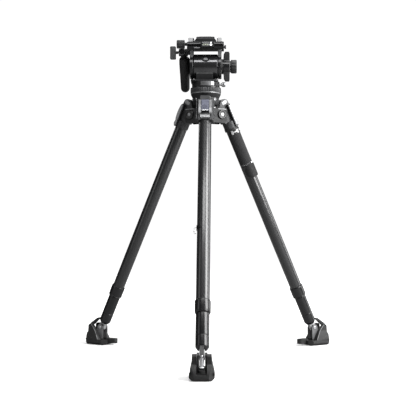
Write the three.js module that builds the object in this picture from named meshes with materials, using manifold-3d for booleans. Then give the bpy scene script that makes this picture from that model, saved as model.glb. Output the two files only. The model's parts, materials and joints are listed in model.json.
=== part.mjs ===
// Camera support tripod with a fluid head: three folding, telescoping legs
// on a cast crown, pivoting shoes, and a pan and tilt head with a short handle.
// Millimetres, +Z up, standing on Z = 0 with the front leg towards -Y.

import * as THREE from 'three';
import { mergeVertices } from 'three/addons/utils/BufferGeometryUtils.js';
import Module from 'manifold-3d';

const wasm = await Module();
wasm.setup();

// ---------- driving dimensions ----------

const GAP = 0.3;                    // between touching pieces
const ROUND = 20;                   // sides on an ordinary turned piece

const LEG_LEAN = THREE.MathUtils.degToRad(25.8);
const PIVOT_R = 40;                 // leg hinge: distance from the tripod's axis
const PIVOT_Z = 664;                // leg hinge: height
const AXIS_OUT = 22.8;              // leg axis lies this far outside its hinge

const TUBE_R = 17;
const TUBE_WALL = 2;
const INNER_R = 14;
const INNER_WALL = 1.5;
const COLLAR_R = 19.5;
const SLEEVE_R = 16.6;

// distances down the leg, measured from level with its hinge
const HEAD_TOP = -36;
const BLOCK_TOP = 29;
const BLOCK_END = 47;
const TUBE_TOP = 32;
const INNER_TOP = 110;
const COLLAR_TOP = 553;
const COLLAR_END = 586;
const SLEEVE_END = 642;
const ANKLE_END = 678;
const ANKLE_PIN = 692;

const EAR_IN = 14;                  // crown ears: inner and outer faces
const EAR_OUT = 20.5;
const EAR_REACH = 57;
const EAR_LOW = 641;
const EAR_TOP = 681;
const CROWN_TOP = 708;

const RING_LOW = 719.5;             // levelling ring
const RING_TOP = 737;
const RING_R = 42.5;
const HOUSING_TOP = 753;

const SHOE_TOE = 333;               // shoe: radial stretch and sizes
const SHOE_HEEL = 412;
const SHOE_HALF = 30;
const SHOE_FLOOR = 15;
const CHANNEL_HALF = 12.5;

const DRUM_Z = 797;                 // tilt axis height
const DRUM_R = 34.5;
const ARM_IN = 34;
const ARM_OUT = 43.7;
const APRON_LOW = 837;              // the platform's deep front edge
const PLATFORM_LOW = 848.5;
const PLATFORM_TOP = 857.5;
const PLATFORM_HALF = 50.5;
const RAIL_TOP = 869.5;
const PAD_LOW = 866.6;
const PLATE_TOP = 873;

const AXIS_SET_BACK = 94;           // from the footprint's middle to the tripod's axis

const LEGS = [
  { side: 'front', turn: -90 },
  { side: 'right', turn: 30 },
  { side: 'left', turn: 150 },
];

// ---------- materials ----------

function finish(color, roughness, metalness) {
  return new THREE.MeshStandardMaterial({ color, roughness, metalness });
}

const CAST = finish(0x24252a, 0.5, 0.4);
const ANODISED = finish(0x1b1c1f, 0.35, 0.7);
const CARBON = finish(0x2b2c2f, 0.35, 0.1);
const STEEL = finish(0x9a9ca0, 0.3, 0.9);
const GREY_PLATE = finish(0x6a6d7c, 0.4, 0.5);
const RUBBER = finish(0x1c1c1e, 0.85, 0.0);
const PLASTIC = finish(0x202124, 0.55, 0.0);
const WEBBING = finish(0x3a3b3e, 0.9, 0.0);
const CLEAR = finish(0xc8d2a8, 0.15, 0.0);

// ---------- solids ----------

function solid(geometry) {
  const bare = geometry.clone();
  bare.deleteAttribute('normal');
  bare.deleteAttribute('uv');
  const merged = mergeVertices(bare, 1e-4);
  const corners = [];
  const index = merged.index.array;
  for (let i = 0; i < index.length; i += 3) {
    const [a, b, c] = [index[i], index[i + 1], index[i + 2]];
    if (a !== b && b !== c && c !== a) corners.push(a, b, c);
  }
  const build = (order) => new wasm.Manifold(new wasm.Mesh({
    numProp: 3,
    vertProperties: new Float32Array(merged.attributes.position.array),
    triVerts: new Uint32Array(order),
  }));
  const made = build(corners);
  if (made.volume() > 0) return made;
  return build(corners.slice().reverse());
}

function geometryOf(body) {
  const mesh = body.getMesh();
  const geometry = new THREE.BufferGeometry();
  geometry.setAttribute('position', new THREE.BufferAttribute(mesh.vertProperties, 3));
  geometry.setIndex(new THREE.BufferAttribute(mesh.triVerts, 1));
  geometry.computeVertexNormals();
  return geometry;
}

function join(first, ...rest) {
  return rest.reduce((sum, next) => sum.add(next), first);
}

function cut(first, ...rest) {
  return rest.reduce((left, next) => left.subtract(next), first);
}

function box(x0, x1, y0, y1, z0, z1) {
  const geometry = new THREE.BoxGeometry(x1 - x0, y1 - y0, z1 - z0);
  geometry.translate((x0 + x1) / 2, (y0 + y1) / 2, (z0 + z1) / 2);
  return solid(geometry);
}

// profile: [radius, height] pairs from the axis round to the axis, turned about Z
function turned(profile, sides = ROUND) {
  const points = profile.map(([r, z]) => new THREE.Vector2(r, z));
  const geometry = new THREE.LatheGeometry(points, sides);
  geometry.rotateX(Math.PI / 2);
  return solid(geometry);
}

function rod(radius, z0, z1, sides = ROUND) {
  return turned([[0, z0], [radius, z0], [radius, z1], [0, z1]], sides);
}

// a ring closes on itself
function ring(outer, inner, z0, z1, sides = ROUND) {
  return turned([[inner, z0], [outer, z0], [outer, z1], [inner, z1], [inner, z0]], sides);
}

function moved(body, x, y, z) {
  return body.translate([x, y, z]);
}

// a turned piece laid along +X, +Y, or lying at an angle in the XZ plane
function alongX(body) {
  return body.rotate([0, 90, 0]);
}

function alongY(body) {
  return body.rotate([-90, 0, 0]);
}

// outline: [across, up] pairs in the XZ plane, extruded over y0..y1
function slab(outline, y0, y1) {
  const shape = new THREE.Shape(outline.map(([x, z]) => new THREE.Vector2(x, z)));
  const geometry = new THREE.ExtrudeGeometry(shape, { depth: y1 - y0, bevelEnabled: false });
  geometry.rotateX(Math.PI / 2);
  geometry.translate(0, y1, 0);
  return solid(geometry);
}

// outline: [y, z] pairs, extruded over x0..x1
function crossSlab(outline, x0, x1) {
  return slab(outline, -x1, -x0).rotate([0, 0, 90]);
}

// outline: [x, y] pairs, extruded over z0..z1
function plate(outline, z0, z1) {
  const shape = new THREE.Shape(outline.map(([x, y]) => new THREE.Vector2(x, y)));
  const geometry = new THREE.ExtrudeGeometry(shape, { depth: z1 - z0, bevelEnabled: false });
  geometry.translate(0, 0, z0);
  return solid(geometry);
}

function arc(cx, cy, radius, from, to, steps) {
  const points = [];
  for (let i = 0; i <= steps; i++) {
    const angle = THREE.MathUtils.degToRad(from + (to - from) * i / steps);
    points.push([cx + radius * Math.cos(angle), cy + radius * Math.sin(angle)]);
  }
  return points;
}

function rectangle(halfX, halfY, corner) {
  return [
    ...arc(halfX - corner, halfY - corner, corner, 0, 90, 3),
    ...arc(corner - halfX, halfY - corner, corner, 90, 180, 3),
    ...arc(corner - halfX, corner - halfY, corner, 180, 270, 3),
    ...arc(halfX - corner, corner - halfY, corner, 270, 360, 3),
  ];
}

// a gripped wheel: a lobed outline with "lobes" flats between its ridges
function lobed(radius, depth, lobes, z0, z1) {
  const outline = [];
  const steps = lobes * 4;
  const dips = [0, 0, 1, 1];
  for (let i = 0; i < steps; i++) {
    const angle = 2 * Math.PI * i / steps;
    const r = radius - depth * dips[i % 4];
    outline.push([r * Math.cos(angle), r * Math.sin(angle)]);
  }
  return plate(outline, z0, z1);
}

const model = new THREE.Group();

function place(name, body, material, parent = model) {
  const mesh = new THREE.Mesh(geometryOf(body), material);
  mesh.name = name;
  parent.add(mesh);
}

// ---------- crown ----------

function turnedTo(body, degrees) {
  return body.rotate([0, 0, degrees]);
}

function crown() {
  const hub = turned([
    [0, EAR_LOW + 2], [14, EAR_LOW + 2], [19, EAR_LOW + 8], [19, 686], [33, 688], [36, 692],
    [37, 697], [37, CROWN_TOP], [0, CROWN_TOP],
  ]);
  const ear = slab([
    [8, EAR_LOW], [EAR_REACH - 6, EAR_LOW], [EAR_REACH, EAR_LOW + 8], [EAR_REACH, EAR_TOP - 3],
    [EAR_REACH - 3, EAR_TOP], [8, EAR_TOP],
  ], EAR_IN, EAR_OUT);
  const earPair = join(ear, ear.mirror([0, 1, 0]));
  const spread = LEGS.map(({ turn }) => turnedTo(earPair, turn));
  const pinHole = moved(alongY(rod(6.3, -30, 30)), PIVOT_R, 0, PIVOT_Z);
  const holes = LEGS.map(({ turn }) => turnedTo(pinHole, turn));
  const room = moved(alongY(rod(19, -EAR_IN, EAR_IN)), PIVOT_R, 0, PIVOT_Z);
  const rooms = LEGS.map(({ turn }) => turnedTo(room, turn));
  return cut(join(hub, ...spread), ...holes, ...rooms);
}

function bowlCollar() {
  const foot = CROWN_TOP + GAP;
  const rim = RING_LOW - GAP;
  return turned([[0, foot], [37, foot], [RING_R - 1, rim], [0, rim]], 30);
}

function levellingRing() {
  return turned([
    [34, RING_LOW], [RING_R - 1, RING_LOW], [RING_R, RING_LOW + 3], [RING_R, RING_TOP - 3],
    [RING_R - 1, RING_TOP], [34, RING_TOP], [34, RING_LOW],
  ], 30);
}

function ringSpindle() {
  return rod(33.6, RING_LOW - 1, RING_TOP + 0.2, 30);
}

// ---------- leg, in its own frame ----------
// The frame sits at the hinge: X outwards across the leg, Y along the hinge pin,
// Z up the leg. A distance down the leg is therefore a negative Z.

function onAxis(body) {
  return moved(body, AXIS_OUT, 0, 0);
}

const SLAB_OUT = 38.5;              // outer face of the leg head
const SHELL_HALF = 23.5;            // half the width of its outer shell
const SHELL_TOP = 18;
const NECK_R = 19.2;                // collar that grips the tube

function legHead() {
  const tongue = slab([
    ...arc(0, 0, 15, 100, 270, 8),
    [4, -BLOCK_TOP], [SLAB_OUT, -BLOCK_TOP], [SLAB_OUT, -HEAD_TOP - 10],
    [SLAB_OUT - 3, -HEAD_TOP - 3], [SLAB_OUT - 9, -HEAD_TOP], [18, -HEAD_TOP], [8, 21],
  ], -13, 13);
  const neck = onAxis(rod(NECK_R, -BLOCK_END, -BLOCK_TOP + 1, 28));
  const skirt = slab([
    [SLAB_OUT - 4, -28], [SLAB_OUT, -32], [44, -36], [44, -43], [42, -BLOCK_END],
    [SLAB_OUT - 4, -BLOCK_END],
  ], -11, 11);
  const shell = plate([
    [28, -SHELL_HALF], [34, -SHELL_HALF], [SLAB_OUT, 5 - SHELL_HALF], [SLAB_OUT, SHELL_HALF - 5],
    [34, SHELL_HALF], [28, SHELL_HALF],
  ], -BLOCK_END, SHELL_TOP);
  const bore = onAxis(rod(TUBE_R + GAP, -BLOCK_END - 5, -TUBE_TOP + GAP));
  const pinBore = alongY(rod(4.3, -40, 40, 20));
  return cut(join(tongue, neck, skirt, shell), bore, pinBore);
}

function hingePin() {
  const shank = rod(4, -EAR_OUT - 0.4, EAR_OUT + 0.4, 20);
  const cap = turned([[0, EAR_OUT + 0.4], [13, EAR_OUT + 0.4], [13, 23.2], [11, 24.6], [0, 24.6]]);
  return alongY(join(shank, cap, cap.mirror([0, 0, 1])));
}

function releaseLever() {
  const base = SLAB_OUT + GAP;
  return slab([
    [base, 14], [base + 4, 15], [base + 6, 12], [base + 5.2, -16], [base + 8, -21],
    [base + 7, -24], [base + 2, -22], [base, -18],
  ], -10, 10);
}

function legTube() {
  return onAxis(ring(TUBE_R, TUBE_R - TUBE_WALL, -COLLAR_END + 8, -TUBE_TOP, 24));
}

function collar() {
  const seat = TUBE_R + GAP;
  const guide = INNER_R + 0.4;
  const shoulder = -COLLAR_END + 7.7;
  return onAxis(turned([
    [guide, -COLLAR_END], [COLLAR_R - 1, -COLLAR_END], [COLLAR_R, -COLLAR_END + 1.5],
    [COLLAR_R, -COLLAR_TOP - 1.5], [COLLAR_R - 1, -COLLAR_TOP], [seat, -COLLAR_TOP],
    [seat, shoulder], [guide, shoulder], [guide, -COLLAR_END],
  ], 24));
}

function innerTube() {
  return onAxis(ring(INNER_R, INNER_R - INNER_WALL, -SLEEVE_END + 4, -INNER_TOP, 20));
}

function sleeve() {
  const top = -COLLAR_END - GAP;
  const seat = INNER_R + GAP;
  return onAxis(turned([
    [0, -SLEEVE_END], [SLEEVE_R, -SLEEVE_END], [SLEEVE_R, top - 1], [SLEEVE_R - 0.8, top],
    [seat, top], [seat, -SLEEVE_END + 3.7], [0, -SLEEVE_END + 3.7],
  ]));
}

const TAB_HALF = 6.5;

function ankle() {
  const barrel = turned([
    [0, -ANKLE_END], [11, -ANKLE_END], [SLEEVE_R, -ANKLE_END + 8],
    [SLEEVE_R, -SLEEVE_END - 1.6], [SLEEVE_R - 1, -SLEEVE_END - GAP], [0, -SLEEVE_END - GAP],
  ]);
  const tab = slab([
    [-8, -ANKLE_END + 4], [8, -ANKLE_END + 4], ...arc(0, -ANKLE_PIN, 9, 0, -180, 10),
  ], -TAB_HALF, TAB_HALF);
  const hole = moved(alongY(rod(3.3, -20, 20, 16)), 0, 0, -ANKLE_PIN);
  const socket = rod(3, -ANKLE_PIN - 12, -ANKLE_PIN - 5.5, 12);
  return onAxis(cut(join(barrel, tab), hole, socket));
}

function groundSpike() {
  const top = -ANKLE_PIN - 5.8;
  return onAxis(turned([
    [0, -ANKLE_PIN - 29], [1.2, -ANKLE_PIN - 28], [4.6, -ANKLE_PIN - 14],
    [4.6, -ANKLE_PIN - 9.6], [2.7, -ANKLE_PIN - 9.5], [2.7, top], [0, top],
  ], 14));
}

// ---------- shoe, in a frame at its ankle: X outwards, Y along the pin, Z up ----------

const pinX = PIVOT_R + AXIS_OUT * Math.cos(LEG_LEAN) + ANKLE_PIN * Math.sin(LEG_LEAN);
const pinZ = PIVOT_Z + AXIS_OUT * Math.sin(LEG_LEAN) - ANKLE_PIN * Math.cos(LEG_LEAN);

function shoe() {
  const side = slab([
    [SHOE_TOE, 5], [SHOE_TOE + 10, 0], [SHOE_HEEL - 12, 0], [SHOE_HEEL, 5],
    [SHOE_HEEL, 10], [409, 20], [404, 30], [398, 38], [398, 56], [394, 60.5], [386, 60.5],
    [373, 46], [364, 30], [357, SHOE_FLOOR], [SHOE_TOE, SHOE_FLOOR],
  ], -SHOE_HALF, SHOE_HALF);
  const half = [
    [22, 0], [SHOE_HALF, 6], [SHOE_HALF, 10], [28, 20], [25.5, 35], [23, 44], [22.5, 61],
  ];
  const outline = [...half, ...half.map(([y, z]) => [-y, z]).reverse()];
  const front = crossSlab(outline, 300, 420);
  const plan = plate([
    [SHOE_TOE - 5, -14], [SHOE_TOE + 12, -SHOE_HALF], [SHOE_HEEL - 16, -SHOE_HALF],
    [SHOE_HEEL, -17], [SHOE_HEEL, 17], [SHOE_HEEL - 16, SHOE_HALF],
    [SHOE_TOE + 12, SHOE_HALF], [SHOE_TOE - 5, 14],
  ], -1, 70);
  const channel = box(320, 430, -CHANNEL_HALF, CHANNEL_HALF, SHOE_FLOOR, 80);
  const toe = plate([
    [SHOE_TOE + 6, -9.5], [SHOE_TOE + 6, 9.5], ...arc(317.5, 0, 9.5, 90, 270, 8),
  ], 5.5, 19.5);
  const cheek = slab([
    [pinX - 9, SHOE_FLOOR - 3], [pinX + 14, SHOE_FLOOR - 3], ...arc(pinX, pinZ, 9, 0, 180, 10),
  ], 7.5, CHANNEL_HALF - 0.6);
  const cheeks = join(cheek, cheek.mirror([0, 1, 0]));
  const pinHole = moved(alongY(rod(3.5, -30, 30, 16)), pinX, 0, pinZ);
  const shell = cut(side.intersect(front).intersect(plan), channel);
  return cut(join(shell, toe, cheeks), pinHole);
}

function anklePin() {
  const shank = rod(3, -12.4, 12.4, 16);
  const head = rod(5.2, 12.2, 14.4, 16);
  return moved(alongY(join(shank, head, head.mirror([0, 0, 1]))), pinX, 0, pinZ);
}

const LATCH_X = 401;
const LATCH_LOW = 30;

function shoeLatch() {
  const bar = moved(rod(5, LATCH_LOW, 60, 18), LATCH_X, 0, 0);
  const tongue = slab([
    [LATCH_X - 5, 55], [LATCH_X + 5, 54], [LATCH_X + 3, 60], [379, 77], [373, 79],
    [372, 75.5], [376, 72],
  ], -5, 5);
  return join(bar, tongue);
}

function buildLeg({ side, turn }) {
  const radial = new THREE.Group();
  radial.rotation.z = THREE.MathUtils.degToRad(turn);
  model.add(radial);
  const leg = new THREE.Group();
  leg.position.set(PIVOT_R, 0, PIVOT_Z);
  leg.rotation.y = -LEG_LEAN;
  radial.add(leg);
  place(`leg_head_${side}`, legHead(), CAST, leg);
  place(`hinge_pin_${side}`, hingePin(), ANODISED, leg);
  place(`release_lever_${side}`, releaseLever(), GREY_PLATE, leg);
  place(`leg_tube_${side}`, legTube(), CARBON, leg);
  place(`collar_${side}`, collar(), ANODISED, leg);
  place(`inner_tube_${side}`, innerTube(), CARBON, leg);
  place(`sleeve_${side}`, sleeve(), ANODISED, leg);
  place(`ankle_${side}`, ankle(), ANODISED, leg);
  place(`ground_spike_${side}`, groundSpike(), STEEL, leg);
  place(`shoe_${side}`, shoe(), RUBBER, radial);
  place(`ankle_pin_${side}`, anklePin(), STEEL, radial);
  place(`shoe_latch_${side}`, shoeLatch(), PLASTIC, radial);
  return leg;
}

// ---------- pieces worn by two of the legs ----------

function wrap(inner, outer, from, to, low, high) {
  const sector = [
    ...arc(AXIS_OUT, 0, outer, from, to, 10),
    ...arc(AXIS_OUT, 0, inner, to, from, 10),
  ];
  return plate(sector, -high, -low);
}

const WORN_R = TUBE_R + GAP;        // inside of what is worn round a tube
const LOOP_TOP = BLOCK_END + GAP;
const LOOP_END = 54;
const BUCKLE_END = 66;
const STRAP_END = 163;
const TAIL_END = 200;

function strapLoop() {
  return onAxis(ring(WORN_R + 3, WORN_R, -LOOP_END, -LOOP_TOP));
}

function strapBuckle() {
  return wrap(WORN_R, WORN_R + 4, -160, 20, LOOP_END + GAP, BUCKLE_END);
}

function legStrap() {
  const webbing = wrap(WORN_R, WORN_R + 2.6, -172, 15, BUCKLE_END + GAP, STRAP_END);
  const tail = wrap(WORN_R, WORN_R + 5, -147, 8, STRAP_END - 1, TAIL_END);
  return join(webbing, tail);
}

function sideHook() {
  const band = wrap(WORN_R, WORN_R + 1.4, 200, 340, 354, 366);
  const prong = slab([
    [-1.5, -378], [1.5, -378], [1.5, -356], [-1.5, -356],
  ], -WORN_R - 8, -WORN_R - 1);
  return join(band, moved(prong, AXIS_OUT, 0, 0));
}

// ---------- head ----------

function panHousing() {
  const base = rod(38.5, RING_TOP + 0.5, HOUSING_TOP, 30);
  const block = moved(plate(rectangle(38, 33, 8), HOUSING_TOP - 1, HOUSING_TOP + 4), -3, 0, 0);
  const saddle = crossSlab([
    [-26, 756], [26, 756], [30, 772], [28, 778], [-28, 778], [-30, 772],
  ], -26, 20);
  const drumRoom = moved(alongX(rod(DRUM_R - 0.2, -60, 60, 28)), 0, 0, DRUM_Z);
  return cut(join(base, block, saddle), drumRoom);
}

function drum() {
  const half = ARM_IN - GAP;
  const body = turned([
    [0, -half], [DRUM_R - 2, -half], [DRUM_R - 0.6, -half + 1.4], [DRUM_R - 0.6, half - 1.4],
    [DRUM_R - 2, half], [0, half],
  ], 28);
  return moved(alongX(body), 0, 0, DRUM_Z);
}

function arm(inner, outer) {
  const low = Math.min(inner, outer);
  const high = Math.max(inner, outer);
  const hub = moved(alongX(rod(DRUM_R, low, high, 28)), 0, 0, DRUM_Z);
  const upright = crossSlab([
    [-26, DRUM_Z + 10], [26, DRUM_Z + 10], [24, 834], [27, PLATFORM_LOW - GAP],
    [-27, PLATFORM_LOW - GAP], [-24, 834],
  ], low, high);
  return join(hub, upright);
}

const LEVEL = { x0: -11.5, x1: 22, front: -54, back: -48.3, low: 840.5, high: 857 };

function rail(x0, x1) {
  const foot = PLATFORM_TOP - 1;
  return slab([
    [x0, foot], [x0, RAIL_TOP - 2], [x0 + 2, RAIL_TOP], [x1 - 2, RAIL_TOP], [x1, RAIL_TOP - 2],
    [x1, foot],
  ], -40, 44);
}

function platform() {
  const deck = crossSlab([
    [-46, APRON_LOW], [-40, APRON_LOW], [-38, APRON_LOW + 3], [-36, PLATFORM_LOW],
    [45, PLATFORM_LOW], [46, PLATFORM_LOW + 1], [46, PLATFORM_TOP - 1.5], [44.5, PLATFORM_TOP],
    [-46, PLATFORM_TOP], [-49, PLATFORM_TOP - 3], [-50, PLATFORM_TOP - 8],
    [-50, APRON_LOW + 8], [-49, APRON_LOW + 3],
  ], -PLATFORM_HALF, PLATFORM_HALF);
  const pocket = box(LEVEL.x0 - GAP, LEVEL.x1 + GAP, -60, LEVEL.back + GAP, 830, 860);
  return cut(join(deck, rail(-47, -31.5), rail(31.5, 45)), pocket);
}

function bubbleLevel() {
  return slab([
    [LEVEL.x0, LEVEL.low + 1], [LEVEL.x0 + 2, LEVEL.low], [LEVEL.x1 - 2, LEVEL.low],
    [LEVEL.x1, LEVEL.low + 1], [LEVEL.x1, LEVEL.high - 1], [LEVEL.x1 - 2, LEVEL.high],
    [LEVEL.x0 + 2, LEVEL.high], [LEVEL.x0, LEVEL.high - 1],
  ], LEVEL.front, LEVEL.back);
}

function cameraPlate() {
  const foot = PLATFORM_TOP + GAP;
  const top = PAD_LOW - GAP;
  return slab([
    [-30, foot], [30, foot], [30, foot + 2.5], [25.5, top], [-25.5, top], [-30, foot + 2.5],
  ], -45, 45);
}

function platePad() {
  return slab([
    [-25, PAD_LOW], [25, PAD_LOW], [25, PLATE_TOP - 2.5], [23, PLATE_TOP - 1],
    [17, PLATE_TOP - 0.6], [16, PLATE_TOP], [-16, PLATE_TOP], [-17, PLATE_TOP - 0.6],
    [-23, PLATE_TOP - 1], [-25, PLATE_TOP - 2.5],
  ], -43, 43);
}

function plateLockKnob() {
  const wheel = alongX(lobed(11.7, 0.9, 12, -79, -57));
  const stem = alongX(rod(4.4, -58, -PLATFORM_HALF - GAP, 16));
  return moved(join(wheel, stem), 0, -34, 853);
}

function sideKnob() {
  return moved(alongX(rod(5.6, PLATFORM_HALF + GAP, 56.5, 18)), 0, -44, 843);
}

const DIAL_OUT = 66.7;

// the drag lever: a hub with one wing above it and one below
function dragDial() {
  const hub = alongX(rod(21, ARM_OUT + GAP, DIAL_OUT, 28));
  const wing = slab([
    [48.5, 12], [DIAL_OUT, 12], [DIAL_OUT, 36], [63.5, 40], [54, 40], [49.5, 33],
  ], -13, 13);
  return moved(join(hub, wing, wing.mirror([0, 0, 1])), 0, 0, DRUM_Z);
}

function dragKnob() {
  const wheel = alongX(lobed(19, 1.2, 9, DIAL_OUT + 3, 86));
  const neck = alongX(rod(16, DIAL_OUT + GAP, DIAL_OUT + 4));
  return moved(join(wheel, neck), 0, 0, DRUM_Z);
}

function panLockKnob() {
  const stem = alongX(rod(3.2, 37.9, 46, 14));
  const wing = alongX(turned([
    [0, 44], [5, 44], [6.6, 46], [6.6, 53], [5, 55], [0, 55],
  ], 16));
  return moved(join(stem, wing), 0, -12, 745);
}

const ROSETTE = { y: 0, z: 837, seam: -55 };
const CLAMP_X = -66;
const GRIP_X = -60;
const HANDLE_SWING = 33;            // degrees back from hanging straight down

function rosetteBase() {
  const disc = alongX(rod(10.5, ROSETTE.seam + GAP, -50, 24));
  const link = alongX(rod(7, -51, -ARM_OUT - GAP, 20));
  return moved(join(disc, link), 0, ROSETTE.y, ROSETTE.z);
}

function handleClamp() {
  const disc = alongX(rod(10.5, -75, ROSETTE.seam, 24));
  const boss = moved(alongY(rod(9.6, -13, 9, 24)), CLAMP_X, 0, 0);
  const neck = moved(rod(8.5, -15, -11, 20).rotate([HANDLE_SWING, 0, 0]), GRIP_X - 2, 0, 0);
  const shoulder = moved(rod(7, -12, 0, 20).rotate([HANDLE_SWING, 0, 0]), GRIP_X - 3, 0, 0);
  return moved(join(disc, boss, neck, shoulder), 0, ROSETTE.y, ROSETTE.z);
}

function handleGrip() {
  const end = arc(0, -107, 12.5, -90, 0, 6);
  const grip = turned([
    ...end, [13.8, -68], [15, -34], [14.8, -21], [12, -15.3], [0, -15.3],
  ], 24);
  return moved(grip.rotate([HANDLE_SWING, 0, 0]), GRIP_X, ROSETTE.y, ROSETTE.z);
}

function tKnob() {
  const bar = plate(rectangle(8.2, 7, 3), -18, 18);
  const stem = alongX(rod(4, -84, -76, 16));
  return join(moved(bar, -91.3, ROSETTE.y, ROSETTE.z - 1), moved(stem, 0, ROSETTE.y, ROSETTE.z));
}

// ---------- assembly ----------

place('crown', crown(), CAST);
place('bowl_collar', join(bowlCollar(), ringSpindle()), CAST);
place('levelling_ring', levellingRing(), ANODISED);

const [frontLeg, rightLeg] = LEGS.map(buildLeg);
place('strap_loop', strapLoop(), WEBBING, rightLeg);
place('strap_buckle', strapBuckle(), STEEL, rightLeg);
place('leg_strap', legStrap(), WEBBING, rightLeg);
place('side_hook', sideHook(), STEEL, frontLeg);

place('pan_housing', panHousing(), CAST);
place('pan_lock_knob', panLockKnob(), STEEL);
place('drum', drum(), ANODISED);
place('arm_left', arm(-ARM_IN, -ARM_OUT), CAST);
place('arm_right', arm(ARM_IN, ARM_OUT), CAST);
place('platform', platform(), CAST);
place('bubble_level', bubbleLevel(), CLEAR);
place('camera_plate', cameraPlate(), ANODISED);
place('plate_pad', platePad(), RUBBER);
place('plate_lock_knob', plateLockKnob(), PLASTIC);
place('side_knob', sideKnob(), PLASTIC);
place('drag_dial', dragDial(), PLASTIC);
place('drag_knob', dragKnob(), PLASTIC);
place('rosette_base', rosetteBase(), CAST);
place('handle_clamp', handleClamp(), CAST);
place('handle_grip', handleGrip(), RUBBER);
place('t_knob', tKnob(), PLASTIC);

// the origin is the middle of the footprint, so the tripod's axis sits behind it
model.position.y = AXIS_SET_BACK;
model.updateMatrixWorld(true);

export default model;
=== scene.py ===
"""Camera tripod with a fluid head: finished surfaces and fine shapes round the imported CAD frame.

Shapes are made in millimetres in the tripod's own terms and placed in metres. A leg's pieces are
made in the leg's frame (X outwards, Y along its hinge, Z up the leg), a shoe's in a frame that
looks outwards from the tripod's axis, and the head's pieces in the tripod's frame.
"""

import json
import math

import bmesh
import bpy
from mathutils import Matrix, Vector


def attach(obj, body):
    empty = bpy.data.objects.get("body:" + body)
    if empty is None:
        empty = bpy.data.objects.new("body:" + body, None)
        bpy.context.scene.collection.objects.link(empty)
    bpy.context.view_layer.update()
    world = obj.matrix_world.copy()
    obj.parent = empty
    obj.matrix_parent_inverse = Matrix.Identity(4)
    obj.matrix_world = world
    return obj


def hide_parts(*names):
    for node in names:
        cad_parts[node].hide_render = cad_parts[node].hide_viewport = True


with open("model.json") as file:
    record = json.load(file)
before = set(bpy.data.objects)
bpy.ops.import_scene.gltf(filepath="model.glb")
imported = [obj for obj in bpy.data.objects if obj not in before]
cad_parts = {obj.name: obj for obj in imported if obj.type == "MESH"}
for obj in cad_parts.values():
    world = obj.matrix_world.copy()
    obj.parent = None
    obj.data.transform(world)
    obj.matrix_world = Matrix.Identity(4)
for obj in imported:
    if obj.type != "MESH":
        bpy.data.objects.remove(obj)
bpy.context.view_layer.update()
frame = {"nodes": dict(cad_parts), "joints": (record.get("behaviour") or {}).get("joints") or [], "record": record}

MM = 0.001
FINE = 72                                   # sides on a large round piece
SMOOTH_ANGLE = math.radians(32)
WORN_GAP = 0.35                             # between a tube and what is worn round it
LIP_BEHIND = 0.3                            # how far a surface plate sinks into its wall
SIDES = ("front", "right", "left")


# ---------- places, from the frame ----------

joints = {joint["name"]: joint for joint in frame["joints"]}
AXIS = Vector(joints["pan_turn"]["pos_m"])
TRIPOD = Matrix.Translation((AXIS.x, AXIS.y, 0)) @ Matrix.Scale(MM, 4)


def basis(x, y, z, origin):
    turn = Matrix((x, y, z)).transposed().to_4x4()
    return Matrix.Translation(origin) @ turn @ Matrix.Scale(MM, 4)


def leg_frame(side):
    fold = joints[f"fold_{side}"]
    across = Vector(fold["axis"]).normalized()
    up_leg = -Vector(joints[f"extend_{side}"]["axis"]).normalized()
    return basis(across.cross(up_leg), across, up_leg, Vector(fold["pos_m"]))


def shoe_frame(side):
    across = Vector(joints[f"fold_{side}"]["axis"]).normalized()
    up = Vector((0, 0, 1))
    return basis(across.cross(up), across, up, Vector((AXIS.x, AXIS.y, 0)))


LEG = {side: leg_frame(side) for side in SIDES}
SHOE = {side: shoe_frame(side) for side in SIDES}
TILT_Z = joints["tilt_swing"]["pos_m"][2] / MM
ANKLE = SHOE["front"].inverted() @ Vector(joints["ankle_front_tilt"]["pos_m"])


def local_span(node, place):
    """Lowest and highest corner of a CAD node in a local frame, in millimetres."""
    back = place.inverted()
    points = [back @ v.co for v in frame["nodes"][node].data.vertices]
    low = Vector([min(p[i] for p in points) for i in range(3)])
    high = Vector([max(p[i] for p in points) for i in range(3)])
    return low, high


tube_low, tube_high = local_span("leg_tube_front", LEG["front"])
TUBE_X = (tube_low.x + tube_high.x) / 2
TUBE_R = (tube_high.x - tube_low.x) / 2


# ---------- shapes ----------

class Shape:
    """Corners, faces, and a (u, v) for each corner of each face; lengths in millimetres."""

    def __init__(self, points, faces, uvs=None):
        self.points = [Vector(p) for p in points]
        self.faces = [list(f) for f in faces]
        self.uvs = uvs or [[(0.0, 0.0)] * len(f) for f in self.faces]

    def at(self, x=0.0, y=0.0, z=0.0):
        shift = Vector((x, y, z))
        return Shape([p + shift for p in self.points], self.faces, self.uvs)

    def turn(self, axis, degrees):
        spin = Matrix.Rotation(math.radians(degrees), 3, axis)
        return Shape([spin @ p for p in self.points], self.faces, self.uvs)

    def along_x(self):
        return self.turn("Y", 90)

    def along_y(self):
        return self.turn("X", -90)

    def flip_y(self):
        points = [Vector((p.x, -p.y, p.z)) for p in self.points]
        faces = [list(reversed(f)) for f in self.faces]
        uvs = [list(reversed(u)) for u in self.uvs]
        return Shape(points, faces, uvs)

    def __add__(self, other):
        start = len(self.points)
        faces = self.faces + [[i + start for i in f] for f in other.faces]
        return Shape(self.points + other.points, faces, self.uvs + other.uvs)


def rounded(points, radius, closed=True, steps=3):
    """The outline with each corner turned into a short arc of control points."""
    out = []
    count = len(points)
    for i, point in enumerate(points):
        here = Vector(point)
        if not closed and i in (0, count - 1):
            out.append(tuple(here))
            continue
        before = Vector(points[i - 1])
        after = Vector(points[(i + 1) % count])
        reach = min(radius, (before - here).length * 0.45, (after - here).length * 0.45)
        start = here + (before - here).normalized() * reach
        end = here + (after - here).normalized() * reach
        for k in range(steps + 1):
            t = k / steps
            out.append(tuple(start * (1 - t) ** 2 + here * 2 * t * (1 - t) + end * t ** 2))
    return out


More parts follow.
